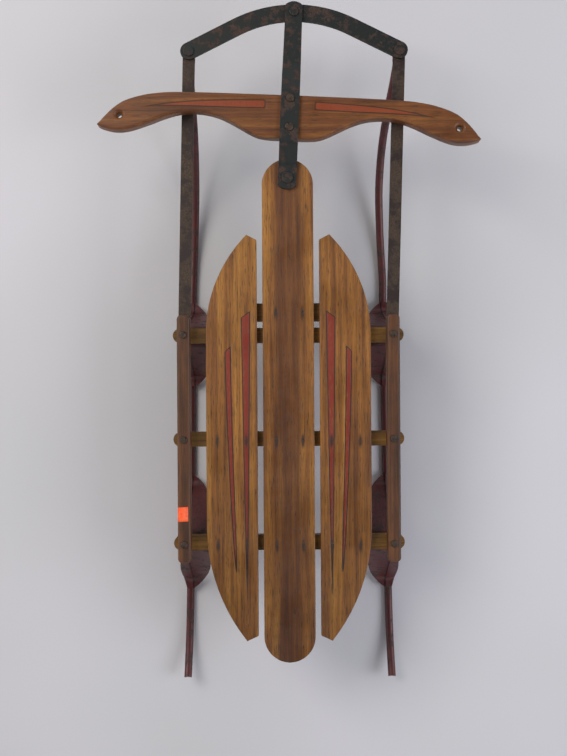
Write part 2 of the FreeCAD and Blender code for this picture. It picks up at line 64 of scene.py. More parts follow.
def addNode(tree, kind, inputs=None, out=0, stops=None, **settings):
    # gives back one output socket, ready to feed the next node
    node = tree.nodes.new(kind)
    for key, value in settings.items():
        setattr(node, key, value)
    for key, value in (inputs or {}).items():
        if isinstance(value, bpy.types.NodeSocket):
            tree.links.new(value, node.inputs[key])
        else:
            node.inputs[key].default_value = value
    if stops:
        elements = node.color_ramp.elements
        while len(elements) < len(stops):
            elements.new(0.5)
        for element, (place, shade) in zip(elements, stops):
            element.position = place
            element.color = linearColour(shade) if isinstance(shade, str) else [shade, shade, shade, 1]
    return node.outputs[out]


def cloud(tree, place, size, detail=5.0, rough=0.6, stretch=(1, 1, 1)):
    # soft blotches, size mm wide
    spread = addNode(tree, "ShaderNodeMapping", {0: place, 3: stretch})
    inputs = {0: spread, "Scale": 1000.0 / size, "Detail": detail, "Roughness": rough}
    return addNode(tree, "ShaderNodeTexNoise", inputs)


def newMaterial(name):
    material = bpy.data.materials.new(name)
    material.use_nodes = True
    tree = material.node_tree
    shader = next(n for n in tree.nodes if n.type == "BSDF_PRINCIPLED")
    place = addNode(tree, "ShaderNodeTexCoord", out="Object")
    return material, tree, shader, place


def connect(tree, shader, sockets):
    for name, socket in sockets.items():
        tree.links.new(socket, shader.inputs[name])


def woodMaterial(name, look):
    # rings give broad bands, pores short dark dashes, old varnish a soft gloss
    material, tree, shader, place = newMaterial(name)

    def grainStretch(pull):
        return (1, pull, 1) if look["grain"] == "Y" else (pull, 1, 1)

    rings = cloud(tree, place, look["ringMm"], 4.0, 0.55, grainStretch(0.035))
    streaks = cloud(tree, place, 1.6, 3.0, 0.6, grainStretch(0.02))
    pores = cloud(tree, place, 0.8, 2.0, 0.5, grainStretch(0.05))  # real pores are 0.3 mm, too fine to show
    blotch = cloud(tree, place, 55.0, 4.0, 0.6)
    shades = [(0.32, look["dark"]), (0.5, look["base"]), (0.68, look["light"])]
    tone = addNode(tree, rampNode, {0: rings}, stops=shades)
    lines = addNode(tree, rampNode, {0: streaks}, stops=[(0.35, 0.55), (0.55, 1.0)])
    tone = addNode(tree, mixNode, {0: 0.7, 6: tone, 7: lines}, **darken)
    dashes = addNode(tree, rampNode, {0: pores}, stops=[(0.34, 0.25), (0.42, 1.0)])
    tone = addNode(tree, mixNode, {0: look["poreDepth"], 6: tone, 7: dashes}, **darken)
    grime = addNode(tree, rampNode, {0: blotch}, stops=[(0.38, 0.62), (0.62, 1.0)])
    tone = addNode(tree, mixNode, {0: look["grime"], 6: tone, 7: grime}, **darken)
    halfStreaks = addNode(tree, mathNode, {0: streaks, 1: 0.5}, **times)
    halfDashes = addNode(tree, mathNode, {0: dashes, 1: 0.5}, **times)
    height = addNode(tree, mathNode, {0: halfStreaks, 1: halfDashes}, **plus)
    for extra in look.get("extras", []):
        tone = extra(tree, place, tone, height)
    bump = addNode(tree, "ShaderNodeBump", {"Height": height, "Strength": 0.35, "Distance": 0.0005})
    wear = [(0.35, look["roughness"] - 0.08), (0.65, look["roughness"] + 0.12)]
    gloss = addNode(tree, rampNode, {0: blotch}, stops=wear)
    connect(tree, shader, {"Base Color": tone, "Roughness": gloss, "Normal": bump})
    shader.inputs["Coat Weight"].default_value = look["varnish"]
    shader.inputs["Coat Roughness"].default_value = 0.3
    return material


def stripePaint(colour, edge):
    # sign painter's enamel between two scratched lines, thin enough that grain shows through
    def paint(tree, place, tone, height):
        inside = addNode(tree, "ShaderNodeAttribute", out="Fac", attribute_name="stripe")
        worn = cloud(tree, place, 2.2, 4.0, 0.7, (1, 0.2, 1))
        nibble = addNode(tree, mathNode, {0: worn, 1: 1.2}, **times)
        ragged = addNode(tree, mathNode, {0: inside, 1: nibble}, **plus)
        fifth = addNode(tree, mathNode, {0: ragged, 1: 0.2}, **times)
        full = addNode(tree, rampNode, {0: fifth}, stops=[(0.30, 0.0), (0.40, 1.0)])
        patchy = addNode(tree, rampNode, {0: worn}, stops=[(0.32, 0.35), (0.5, 0.92)])
        cover = addNode(tree, mathNode, {0: full, 1: patchy}, **times)
        rim = addNode(tree, mathNode, {0: inside, 1: 0.2}, **times)
        line = addNode(tree, rampNode, {0: rim}, stops=[(0.0, 0.0), (0.06, 0.92), (0.3, 0.92), (0.4, 0.0)])
        dim = addNode(tree, rampNode, {0: height}, stops=[(0.2, 0.55), (0.7, 1.0)])
        enamel = addNode(tree, mixNode, {0: 0.55, 6: linearColour(colour), 7: dim}, **darken)
        tone = addNode(tree, mixNode, {0: cover, 6: tone, 7: enamel}, **blend)
        return addNode(tree, mixNode, {0: line, 6: tone, 7: linearColour(edge)}, **blend)
    return paint


def nailStains(tree, place, tone, height):
    # iron and tannin make blue-black marks that creep along the grain
    near = addNode(tree, "ShaderNodeAttribute", out="Fac", attribute_name="stain")
    creep = cloud(tree, place, 3.0, 4.0, 0.7, (1, 0.15, 1))
    ragged = addNode(tree, mathNode, {0: near, 1: creep}, **times)
    mark = addNode(tree, rampNode, {0: ragged}, stops=[(0.12, 0.0), (0.42, 0.9)])
    return addNode(tree, mixNode, {0: mark, 6: tone, 7: linearColour("#2A1C14")}, **blend)


def rearDarkening(tree, place, tone, height):
    # the boards get darker towards the rear end, up to about a quarter darker at the very end, with a broad
    # blotchy edge
    along = addNode(tree, "ShaderNodeSeparateXYZ", {0: place}, out=1)
    behind = addNode(tree, mathNode, {0: along, 1: -2.0}, **times)
    patch = addNode(tree, mathNode, {0: cloud(tree, place, 90.0, 4.0, 0.6), 1: 0.5}, **times)
    reach = addNode(tree, mathNode, {0: behind, 1: patch}, **plus)
    rearFade = addNode(tree, rampNode, {0: reach}, stops=[(0.35, 1.0), (1.0, 0.72)])
    return addNode(tree, mixNode, {0: 1.0, 6: tone, 7: rearFade}, **darken)


def wornBand(tree, place, tone, height):
    # the varnish has gone along the middle, where riders lay
    across = addNode(tree, "ShaderNodeSeparateXYZ", {0: place}, out=0)
    off = addNode(tree, mathNode, {0: across}, operation="ABSOLUTE")
    offMm = addNode(tree, mathNode, {0: off, 1: 1000.0}, **times)
    drift = cloud(tree, place, 16.0, 5.0, 0.65, (1, 0.12, 1))
    wander = addNode(tree, mathNode, {0: drift, 1: 20.0}, **times)
    centred = addNode(tree, mathNode, {0: wander, 1: 10.0}, operation="SUBTRACT")
    edge = addNode(tree, mathNode, {0: offMm, 1: centred}, **plus)
    share = addNode(tree, mathNode, {0: edge, 1: 0.02}, **times)
    worn = addNode(tree, rampNode, {0: share}, stops=[(0.26, 0.8), (0.5, 0.0)])
    dull = addNode(tree, mixNode, {0: 0.8, 6: tone, 7: linearColour("#8C6040")}, **darken)
    grey = addNode(tree, mixNode, {0: 0.3, 6: dull, 7: linearColour("#54301A")}, **blend)
    return addNode(tree, mixNode, {0: worn, 6: tone, 7: grey}, **blend)


def steelMaterial(name, look):
    # hot-rolled flat bar, stoved paint worn through to tight brown rust
    material, tree, shader, place = newMaterial(name)
    broad = cloud(tree, place, look["patchMm"], 8.0, 0.7)
    small = cloud(tree, place, 2.5, 6.0, 0.75)
    speck = cloud(tree, place, 0.7, 3.0, 0.7)
    rusts = [(0.3, look["rustDark"]), (0.5, look["rust"]), (0.7, look["rustLight"])]
    rust = addNode(tree, rampNode, {0: small}, stops=rusts)
    broadShare = addNode(tree, mathNode, {0: broad, 1: 0.75}, **times)
    smallShare = addNode(tree, mathNode, {0: small, 1: 0.25}, **times)
    cover = addNode(tree, mathNode, {0: broadShare, 1: smallShare}, **plus)
    limits = [(look["paintEdge"] - 0.02, 0.0), (look["paintEdge"] + 0.02, 1.0)]
    kept = addNode(tree, rampNode, {0: cover}, stops=limits)
    paint = addNode(tree, rampNode, {0: broad}, stops=[(0.4, look["paint"]), (0.65, look["paintTint"])])
    tone = addNode(tree, mixNode, {0: kept, 6: rust, 7: paint}, **blend)
    pits = addNode(tree, rampNode, {0: speck}, stops=[(0.35, 0.45), (0.55, 1.0)])
    tone = addNode(tree, mixNode, {0: 0.5, 6: tone, 7: pits}, **darken)
    rough = addNode(tree, rampNode, {0: kept}, stops=[(0.0, look["rustRough"]), (1.0, look["paintRough"])])
    paintStep = addNode(tree, mathNode, {0: kept, 1: 0.35}, **times)
    scale = addNode(tree, mathNode, {0: small, 1: 0.65}, **times)
    height = addNode(tree, mathNode, {0: paintStep, 1: scale}, **plus)
    bump = addNode(tree, "ShaderNodeBump", {"Height": height, "Strength": 0.45, "Distance": 0.0004})
    connect(tree, shader, {"Base Color": tone, "Roughness": rough, "Normal": bump})
    shader.inputs["Metallic"].default_value = look["metal"]
    return material


def paperMaterial():
    # coated sticker paper, flat bright dye with a faint crease
    material, tree, shader, place = newMaterial("label_orange_paper")
    crease = cloud(tree, place, 4.0, 3.0, 0.6)
    tone = addNode(tree, rampNode, {0: crease}, stops=[(0.3, "#EE4E20"), (0.6, "#FF6A34")])
    bump = addNode(tree, "ShaderNodeBump", {"Height": crease, "Strength": 0.3, "Distance": 0.0003})
    connect(tree, shader, {"Base Color": tone, "Normal": bump})
    shader.inputs["Roughness"].default_value = 0.55
    return material


print("finishes")
boardLook = {"grain": "Y", "ringMm": 9.0, "dark": "#6A3C14", "base": "#8E5A20", "light": "#A9742E",
             "poreDepth": 0.85, "grime": 0.5, "roughness": 0.5, "varnish": 0.06}
# oak, planed and varnished: honey brown with dark grain, red enamel stripes laid on it
sideBoardWood = woodMaterial("side_board_varnished_oak", {
    **boardLook, "extras": [stripePaint("#7C2014", "#24130C"), rearDarkening, nailStains]})
# the same oak, worn dull and brown down its middle
centreBoardWood = woodMaterial("centre_board_worn_oak", {
    **boardLook, "extras": [wornBand, rearDarkening, nailStains]})
# a shaped hardwood bar, varnished darker than the deck
handleWood = woodMaterial("handle_varnished_wood", {
    "grain": "X", "ringMm": 8.0, "dark": "#552B0B", "base": "#744012", "light": "#89551C", "poreDepth": 0.75,
    "grime": 0.6, "roughness": 0.5, "varnish": 0.06, "extras": [stripePaint("#843614", "#3A2010")]})
# sawn rails stained dark brown, handled smooth
railWood = woodMaterial("rail_brown_wood", {
    "grain": "Y", "ringMm": 7.0, "dark": "#3C200C", "base": "#583214", "light": "#72451F", "poreDepth": 0.6,
    "grime": 0.7, "roughness": 0.55, "varnish": 0.04})
# benches under the deck, bare and grimed, with no gloss left
benchWood = woodMaterial("bench_grimed_wood", {
    "grain": "X", "ringMm": 6.0, "dark": "#5E4012", "base": "#7D561C", "light": "#906A2A", "poreDepth": 0.6,
    "grime": 0.8, "roughness": 0.65, "varnish": 0.0})
# bow and bar: near-black paint with brown patches
blackSteel = steelMaterial("bow_worn_black_steel", {
    "patchMm": 14.0, "rust": "#3D2A22", "rustDark": "#261A15", "rustLight": "#523C2E", "paint": "#101415",
    "paintTint": "#151D1B", "paintEdge": 0.47, "rustRough": 0.72, "paintRough": 0.5, "metal": 0.1})
# straps: most of the paint is gone, an even dull brown is left
strapSteel = steelMaterial("strap_rusty_steel", {
    "patchMm": 22.0, "rust": "#413227", "rustDark": "#291E18", "rustLight": "#584839", "paint": "#231917",
    "paintTint": "#2B1E1C", "paintEdge": 0.52, "rustRough": 0.68, "paintRough": 0.55, "metal": 0.2})
# bolts and nails: bare forged heads, brown with a faint shine
boltSteel = steelMaterial("bolt_oxidised_steel", {
    "patchMm": 5.0, "rust": "#4A3C32", "rustDark": "#2A211C", "rustLight": "#6B5A4A", "paint": "#1C1817",
    "paintTint": "#26201D", "paintEdge": 0.55, "rustRough": 0.55, "paintRough": 0.45, "metal": 0.5})
# knees and runners: dipped maroon enamel, chipped to brown
runnerPaint = steelMaterial("runner_maroon_enamel", {
    "patchMm": 14.0, "rust": "#3A2420", "rustDark": "#221614", "rustLight": "#5A3C2C", "paint": "#471418",
    "paintTint": "#55201F", "paintEdge": 0.45, "rustRough": 0.7, "paintRough": 0.42, "metal": 0.0})


def meshPiece(name, points, faces, material, fields=None):
    mesh = bpy.data.meshes.new(name)
    mesh.from_pydata([(x / 1000, y / 1000, z / 1000) for x, y, z in points], [], faces)
    mesh.update()
    for field, values in (fields or {}).items():
        layer = mesh.attributes.new(field, "FLOAT", "POINT")
        layer.data.foreach_set("value", values)
    piece = bpy.data.objects.new(name, mesh)
    scene.collection.objects.link(piece)
    mesh.materials.append(material)
    for polygon in mesh.polygons:
        polygon.use_smooth = True
    return piece


def boxMm(node):
    low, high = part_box(node)
    return [v * 1000 for v in low], [v * 1000 for v in high]


def ringFaces(base, count, levels):
    # side faces between rings of count points that follow each other from base on
    faces = []
    for level in range(levels - 1):
        for i in range(count):
            a = base + level * count + i
            b = base + level * count + (i + 1) % count
            faces.append((a, b, b + count, a + count))
    return faces


plankMesh = {"acrossSteps": 84, "alongSteps": 190, "lowChamfer": 0.8, "thinnest": 0.2}


def plank(rows, low, high, edge, dip, fieldAt):
    # rows are (station, from, to): the plank runs along the stations, its section across them
    points, values = [], {}
    steps, chamfer = plankMesh["acrossSteps"], plankMesh["lowChamfer"]
    for station, start, end in rows:
        section = []
        reach = max(end - start, plankMesh["thinnest"])
        soft = min(edge, reach / 2.001)
        for i in range(steps + 1):
            # finer steps near both edges keep the rounding smooth
            share = 0.5 - 0.5 * math.cos(math.pi * i / steps)
            share = 0.35 * share + 0.65 * i / steps
            spot = start + reach * share
            inset = min(spot - start, end - spot)
            drop = 0.0
            if inset < soft:
                drop = soft - math.sqrt(max(soft ** 2 - (soft - inset) ** 2, 0.0))
            section.append((spot, high - drop - dip(station, spot, inset)))
        foot = min(chamfer, reach / 3)
        section += [(end, low + chamfer), (end - foot, low), (start + foot, low), (start, low + chamfer)]
        for spot, z in section:
            points.append((station, spot, z))
            for field, value in fieldAt(station, spot, z).items():
                values.setdefault(field, []).append(value)
    ring = steps + 5
    faces = ringFaces(0, ring, len(rows))
    faces.append(tuple(reversed(range(ring))))
    faces.append(tuple(range((len(rows) - 1) * ring, len(rows) * ring)))
    return points, faces, values


def stations(first, last, count):
    # closer together at both ends, where the outline turns quickly
    spots = []
    for i in range(count + 1):
        share = 0.5 - 0.5 * math.cos(math.pi * i / count)
        spots.append(first + (last - first) * (0.75 * share + 0.25 * i / count))
    return spots


print("deck boards")
deckBoards = {
    "edgeRound": 1.7, "grooveDepth": 0.7, "grooveWidth": 1.5, "unevenness": 0.12, "cornerDrop": 7.5,
    "tips": {1: {"inset": 14.8, "shoulder": 25.0}, -1: {"inset": 16.5, "shoulder": -253.0}},
    "innerStripe": {"front": 60.7, "rear": -358.8, "x": 61.8, "drift": 0.0, "half": 7.2, "taper": 0.7,
                    "slant": 0.75},
    "outerStripe": {"front": 9.9, "rear": -320.0, "x": 88.0, "drift": -11.0, "half": 4.85, "taper": 0.3,
                    "slant": 0.9},
    "nailInset": {"centre": (-18.0, 20.5), "side": (62.0, 103.5)},
    "dimpleRadius": 5.0, "dimpleDepth": 0.5, "stainHalf": (3.2, 11.0), "stainShift": 3,
}
noPaint = -9.0
faceDepth = 5.0


def middleY(node):
    low, high = boxMm(node)
    return (low[1] + high[1]) / 2


nailRows = [middleY("middle_bench"), middleY("rear_bench")]
centreNails = [(x, y) for y in nailRows + [middleY("front_cleat")] for x in deckBoards["nailInset"]["centre"]]
sideNails = [(x, y) for y in nailRows for x in deckBoards["nailInset"]["side"]]


def stripeInside(x, y):
    # mm inside the nearer stripe's outline, below zero outside it
    best = noPaint
    for stripe in (deckBoards["innerStripe"], deckBoards["outerStripe"]):
        length = stripe["front"] - stripe["rear"]
        share = (stripe["front"] - y) / length
        if -0.02 < share < 1.02:
            clipped = min(max(share, 0.0), 1.0)
            half = stripe["half"] * (1 - clipped) ** stripe["taper"]
            middle = stripe["x"] + stripe["drift"] * clipped ** 1.5
            slant = max(abs(x) - (stripe["x"] - stripe["half"]), 0.0) * stripe["slant"]
            ends = min(stripe["front"] - y - slant, (1 - share) * length)
            best = max(best, min(half - abs(abs(x) - middle), ends))
    return best


def stainAt(x, y, nails):
    wide, long = deckBoards["stainHalf"]
    best = 0.0
    for nailX, nailY in nails:
        reach = ((x - nailX) / wide) ** 2 + ((y - nailY + deckBoards["stainShift"]) / long) ** 2
        best = max(best, math.exp(-reach))
    return best


def deckDip(x, y, nails, striped):
    # how far the top lies below flat: hand planing, nail dimples, scratched stripe lines
    depth = deckBoards["unevenness"] * (noise.noise(Vector((x * 0.06, y * 0.012, 3.0))) + 0.5)
    for nailX, nailY in nails:
        near = 1 - math.hypot(x - nailX, y - nailY) / deckBoards["dimpleRadius"]
        if near > 0:
            depth += deckBoards["dimpleDepth"] * near ** 2
    if striped:
        half = deckBoards["grooveWidth"] / 2
        off = abs(stripeInside(x, y) - half)
        if off < half:
            depth += deckBoards["grooveDepth"] * (1 - off / half)
    return depth


def centreBoard():
    (lowX, lowY, lowZ), (highX, highY, highZ) = boxMm("centre_board")
    half = highX
    rows = []
    for y in stations(lowY + 0.02, highY - 0.02, plankMesh["alongSteps"]):
        over = max(y - (highY - half), (lowY + half) - y, 0.0)
        width = math.sqrt(max(half ** 2 - over ** 2, 0.0))
        rows.append((y, -width, width))

    def dip(y, x, inset):
        return deckDip(x, y, centreNails, False) * min(inset / 2, 1)

    def fieldAt(y, x, z):
        return {"stain": stainAt(x, y, centreNails) if z > lowZ + faceDepth else 0.0}

    points, faces, values = plank(rows, lowZ, highZ, deckBoards["edgeRound"], dip, fieldAt)
    points = [(x, y, z) for y, x, z in points]
    faces = [tuple(reversed(f)) for f in faces]
    piece = meshPiece("centre_deck_board", points, faces, centreBoardWood, values)
    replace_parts(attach(piece, "frame"), "centre_board")


def sideBoardRows(inner, outer, lowY, highY):
    # each end: an arc from the shoulder to the tip outside, a straight cut back inside
    rows = []
    for y in stations(lowY + 0.3, highY - 0.3, plankMesh["alongSteps"]):
        end = 1 if y > (lowY + highY) / 2 else -1
        tip = deckBoards["tips"][end]
        tipX, tipY = inner + tip["inset"], highY if end > 0 else lowY
        cornerY = tipY - end * deckBoards["cornerDrop"]
        inset, run = outer - tipX, abs(tipY - tip["shoulder"])
        radius = (inset ** 2 + run ** 2) / (2 * inset)
        past = max((y - tip["shoulder"]) * end, 0.0)
        far = outer - radius + math.sqrt(radius ** 2 - past ** 2)
        near = inner
        if (y - cornerY) * end > 0:
            near = inner + (tipX - inner) * (y - cornerY) / (tipY - cornerY)
        rows.append((y, near, max(far, near + plankMesh["thinnest"])))
    return rows


def sideBoard(side):
    node = ("left" if side < 0 else "right") + "_side_board"
    (lowX, lowY, lowZ), (highX, highY, highZ) = boxMm(node)
    inner, outer = sorted((abs(lowX), abs(highX)))
    rows = sideBoardRows(inner, outer, lowY, highY)

    def dip(y, x, inset):
        return deckDip(x, y, sideNails, True) * min(inset / 2, 1)

    def fieldAt(y, x, z):
        onTop = z > lowZ + faceDepth
        return {"stripe": stripeInside(x, y) if onTop else noPaint,
                "stain": stainAt(x, y, sideNails) if onTop else 0.0}

    points, faces, values = plank(rows, lowZ, highZ, deckBoards["edgeRound"], dip, fieldAt)
    points = [(x * side, y, z) for y, x, z in points]
    if side > 0:
        faces = [tuple(reversed(f)) for f in faces]
    piece = meshPiece(node.replace("side_board", "deck_board"), points, faces, sideBoardWood, values)
    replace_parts(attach(piece, "frame"), node)


centreBoard()
for side in (-1, 1):
    sideBoard(side)


print("nails")
# each head is a short drum with a chamfered top, sunk in its dimple
nailHead = {"radius": 2.4, "topShare": 0.6, "sink": 0.15, "levels": (-1.2, -0.35, 0.0), "sides": 14}


def nails():
    top = boxMm("centre_board")[1][2] - nailHead["sink"]
    count, radius = nailHead["sides"], nailHead["radius"]
    radii = (radius, radius, radius * nailHead["topShare"])
    points, faces = [], []
    for x, y in centreNails + [(x * s, y) for x, y in sideNails for s in (-1, 1)]:
        base = len(points)
        for reach, level in zip(radii, nailHead["levels"]):
            for i in range(count):
                turn = 2 * math.pi * i / count
                points.append((x + reach * math.cos(turn), y + reach * math.sin(turn), top + level))
        faces += ringFaces(base, count, len(radii))
        faces.append(tuple(base + 2 * count + i for i in range(count)))
        faces.append(tuple(base + i for i in reversed(range(count))))
    piece = meshPiece("deck_nails", points, faces, boltSteel)
    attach(piece, "frame")


nails()


print("steering handle")
# right half of the outline, mirrored; it is drawn square to the sled and then turned as it parks
handle = {
    "front": [(0, 367.5), (54, 367.3), (109, 367.0), (161, 366.0), (182, 364.6), (209, 360.3), (237, 351.0),
              (253, 340.0), (267, 325.5), (275.5, 314.5)],
    "rear": [(0, 305.0), (14, 305.0), (30, 305.4), (44, 307.3), (56, 311.9), (71, 319.6), (88, 328.3),
             (106.5, 335.2), (125, 338.5), (141, 339.0), (160, 336.6), (181, 330.0), (201, 321.4),
             (224, 312.6), (240, 308.7), (254.5, 308.6), (268.5, 311.6), (275.5, 314.5)],
    "halfLength": 275.2, "steps": 260, "edgeRound": 4.0, "unevenness": 0.15, "turn": -2.6, "pivotY": 252.0,
    "stripeStart": 35.0, "stripeEnd": 212.0, "stripeHalf": 6.4, "stripeY": 352.5, "stripeFall": 4.0,
    "stripeCurl": 7.0, "grooveWidth": 1.3, "grooveDepth": 0.45, "paintDepth": 12,
    "ropeHole": (244.5, 329.3), "holeRadius": 4.0, "sinkRadius": 8.4, "sinkDepth": 3.5,
}


def smoothAt(chain, x):
    # a smooth curve through the chain's points, read at x
    for i in range(len(chain) - 1):
        x0, y0 = chain[i]
        x1, y1 = chain[i + 1]
        if x <= x1 or i == len(chain) - 2:
            before = chain[i - 1] if i > 0 else (-x1, y1)
            after = chain[i + 2] if i + 2 < len(chain) else (2 * x1 - x0, 2 * y1 - y0)
            slope0 = (y1 - before[1]) / (x1 - before[0])
            slope1 = (after[1] - y0) / (after[0] - x0)
            t = min(max((x - x0) / (x1 - x0), 0.0), 1.0)
            wide = x1 - x0
            return ((2 * t ** 3 - 3 * t ** 2 + 1) * y0 + (t ** 3 - 2 * t ** 2 + t) * wide * slope0
                    + (3 * t ** 2 - 2 * t ** 3) * y1 + (t ** 3 - t ** 2) * wide * slope1)


def handleStripe(x, y):
    far = abs(x)
    share = (far - handle["stripeStart"]) / (handle["stripeEnd"] - handle["stripeStart"])
    if share < -0.05 or share > 1.02:
        return noPaint
    clipped = min(max(share, 0.0), 1.0)
    middle = handle["stripeY"] - handle["stripeFall"] * clipped - handle["stripeCurl"] * clipped ** 4
    half = handle["stripeHalf"] * (1 - clipped ** 2.2)
    return min(half - abs(y - middle), far - handle["stripeStart"])


def drill(piece, spot, radii, low, high):
    place = spot + Vector((0, 0, (low + high) / 2000))
    bpy.ops.mesh.primitive_cone_add(vertices=32, radius1=radii[0] / 1000, radius2=radii[1] / 1000,
                                    depth=(high - low) / 1000, location=place)
    cutter = bpy.context.object
    cut = piece.modifiers.new("rope_hole", "BOOLEAN")
    cut.operation, cut.solver, cut.object = "DIFFERENCE", "EXACT", cutter
    bpy.context.view_layer.objects.active = piece
    bpy.ops.object.modifier_apply(modifier=cut.name)
    bpy.data.objects.remove(cutter)


def steeringHandle():
    (lowX, lowY, lowZ), (highX, highY, highZ) = boxMm("steering_handle")
    half = handle["halfLength"]
    rows = []
    for x in stations(-half, half, handle["steps"]):
        rows.append((x, smoothAt(handle["rear"], abs(x)), smoothAt(handle["front"], abs(x))))

    def dip(x, y, inset):
        depth = handle["unevenness"] * (noise.noise(Vector((x * 0.012, y * 0.06, 9.0))) + 0.5)
        if 0 < handleStripe(x, y) < handle["grooveWidth"]:
            depth += handle["grooveDepth"]
        return depth * min(inset / 2, 1)

    def fieldAt(x, y, z):
        return {"stripe": handleStripe(x, y) if z > lowZ + handle["paintDepth"] else noPaint}

    points, faces, values = plank(rows, lowZ, highZ, handle["edgeRound"], dip, fieldAt)
    piece = meshPiece("steering_crossbar", points, faces, handleWood, values)
    bore, sink = handle["holeRadius"], handle["sinkRadius"]
    for side in (-1, 1):
        spot = Vector((side * handle["ropeHole"][0], handle["ropeHole"][1], 0)) / 1000
        drill(piece, spot, (bore, bore), lowZ - 2, highZ + 1)
        drill(piece, spot, (bore, sink), highZ - handle["sinkDepth"], highZ + 0.4)
    pivot = Vector((0, handle["pivotY"] / 1000, 0))
    spin = Matrix.Rotation(math.radians(handle["turn"]), 4, "Z")
    piece.data.transform(Matrix.Translation(pivot) @ spin @ Matrix.Translation(-pivot))
    piece.data.shade_smooth()
    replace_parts(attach(piece, "steering"), "steering_handle")


steeringHandle()


print("runners")
# one springy strip a side: level at the rear, swept up to the bow; it bends from flexY on when steered
runner = {
    "rearX": 157.0, "frontX": 152.2, "rearBenchY": -278.0, "flexY": 97.0, "tailStart": -395.0,
    "tailRise": 22.0, "tailSplay": 3.0, "splayLead": 20, "sweepStart": 120.0, "sweepEnd": 425.0,
    "linkX": 153.3, "linkY": 438.64, "topZ": 139.0, "height": 10.0, "halfWidth": 5.8, "grooveHalf": 2.3,
    "grooveDepth": 3.6, "upperRadius": 45.0, "bowIn": {"left": 3.0, "right": 13.0}, "turn": -2.6 * 0.705424,
    "tabHalf": 8.85, "tabThick": 4.0, "tabBack": 14.0, "blendBack": 4, "blendAhead": 90,
    "sharpDegrees": 38,
}


def turnedAbout(x, y, centre, angle):
    # x and y turned about the centre
    dx, dy = x - centre[0], y - centre[1]
    return (centre[0] + dx * math.cos(angle) - dy * math.sin(angle),
            centre[1] + dx * math.sin(angle) + dy * math.cos(angle))


def rearPath(name):
    # tail curl and the level rear length, as (x, y, z of the underside, slope), for X > 0
    r = runner
    tail = boxMm(name + "_runner")[0][1]
    run = r["tailStart"] - tail
    radius = (r["tailRise"] ** 2 + run ** 2) / (2 * r["tailRise"])
    whole = math.asin(run / radius)
    splayY = r["tailStart"] + r["splayLead"]

    def sideX(y, kneeY):
        # on the line through both knees at kneeY, plus the splay of the tail at y
        share = (kneeY - r["rearBenchY"]) / (r["flexY"] - r["rearBenchY"])
        straight = r["rearX"] + (r["frontX"] - r["rearX"]) * share
        return straight + r["tailSplay"] * max(splayY - y, 0) / (splayY - tail)

    line = []
    for i in range(25):
        angle = whole * (1 - i / 24)
        y = r["tailStart"] - radius * math.sin(angle)
        line.append((sideX(y, splayY), y, radius - radius * math.cos(angle), -angle))
    for i in range(1, 50):
        y = r["tailStart"] + (r["flexY"] - r["tailStart"]) * i / 50
        line.append((sideX(y, y), y, 0.0, 0.0))
    return line


def sweepProfile():
    # the front length seen from the side, as (y, z of the underside, slope): two arcs up to the link
    r = runner
    rise = r["topZ"] - r["height"]
    whole = 2 * math.atan2(rise, r["sweepEnd"] - r["sweepStart"])
    radius = rise / (1 - math.cos(whole)) - r["upperRadius"]
    profile = [(r["flexY"] + (r["sweepStart"] - r["flexY"]) * i / 4, 0.0, 0.0) for i in range(4)]
    for i in range(41):
        angle = whole * i / 40
        profile.append((r["sweepStart"] + radius * math.sin(angle), radius * (1 - math.cos(angle)), angle))
    for i in range(1, 17):
        angle = whole * (1 - i / 16)
        y = r["sweepEnd"] - r["upperRadius"] * math.sin(angle)
        profile.append((y, rise - r["upperRadius"] * (1 - math.cos(angle)), angle))
    return profile


def frontPath(side, name):
    # the sweep is sprung inward a little, and turned as it parks about its stand-in hinge
    r = runner
    bowIn = r["bowIn"][name]
    reach = r["linkY"] - r["flexY"]
    plan = [(r["flexY"], r["frontX"]), (r["flexY"] + 0.3 * reach, r["frontX"] - 0.62 * bowIn),
            (r["flexY"] + 0.5 * reach, r["frontX"] - bowIn),
            (r["flexY"] + 0.7 * reach, r["frontX"] - 0.9 * bowIn),
            (r["sweepEnd"], r["linkX"] - 0.15 * bowIn), (r["linkY"] + 10, r["linkX"])]
    hinge = (r["frontX"] * side, r["flexY"])
    line = []
    for y, z, slope in sweepProfile():
        x, y = turnedAbout(smoothAt(plan, y) * side, y, hinge, math.radians(r["turn"]))
        line.append((x * side, y, z, slope))
    return line


def runnerSection():
    # rolled section: rounded back above, two small feet and a hollow between them below
    half, deep, groove, hollow = (runner[k] for k in ("halfWidth", "height", "grooveHalf", "grooveDepth"))
    rightSide = [(groove - 0.6, hollow - 0.5), (groove, 0.6), (groove + 0.5, 0.0), (half - 0.7, 0.0),
                 (half, 0.6), (half, 5.6), (half - 0.7, 7.6), (half - 2.2, 9.2), (2.0, 9.9)]
    leftSide = [(-u, v) for u, v in reversed(rightSide)]
    return [(0.0, hollow)] + rightSide + [(0.0, deep)] + leftSide


def tabMesh(side, base):
    # the strip's end is hammered flat into a tab under the strap
    r = runner
    angle = math.radians(r["turn"])
    hinge = (side * r["frontX"], r["flexY"])
    endX, endY = turnedAbout(side * r["linkX"], r["linkY"], hinge, angle)
    half = r["tabHalf"]
    outline = [(-half, -r["tabBack"]), (half, -r["tabBack"])]
    for i in range(17):
        outline.append((half * math.cos(math.pi * i / 16), half * math.sin(math.pi * i / 16)))
    points = []
    for z in (r["topZ"] - r["tabThick"], r["topZ"]):
        for u, v in outline:
            points.append((*turnedAbout(endX + u, endY + v, (endX, endY), angle), z))
    count = len(outline)
    faces = ringFaces(base, count, 2)
    faces.append(tuple(base + i for i in reversed(range(count))))
    faces.append(tuple(base + count + i for i in range(count)))
    return points, faces


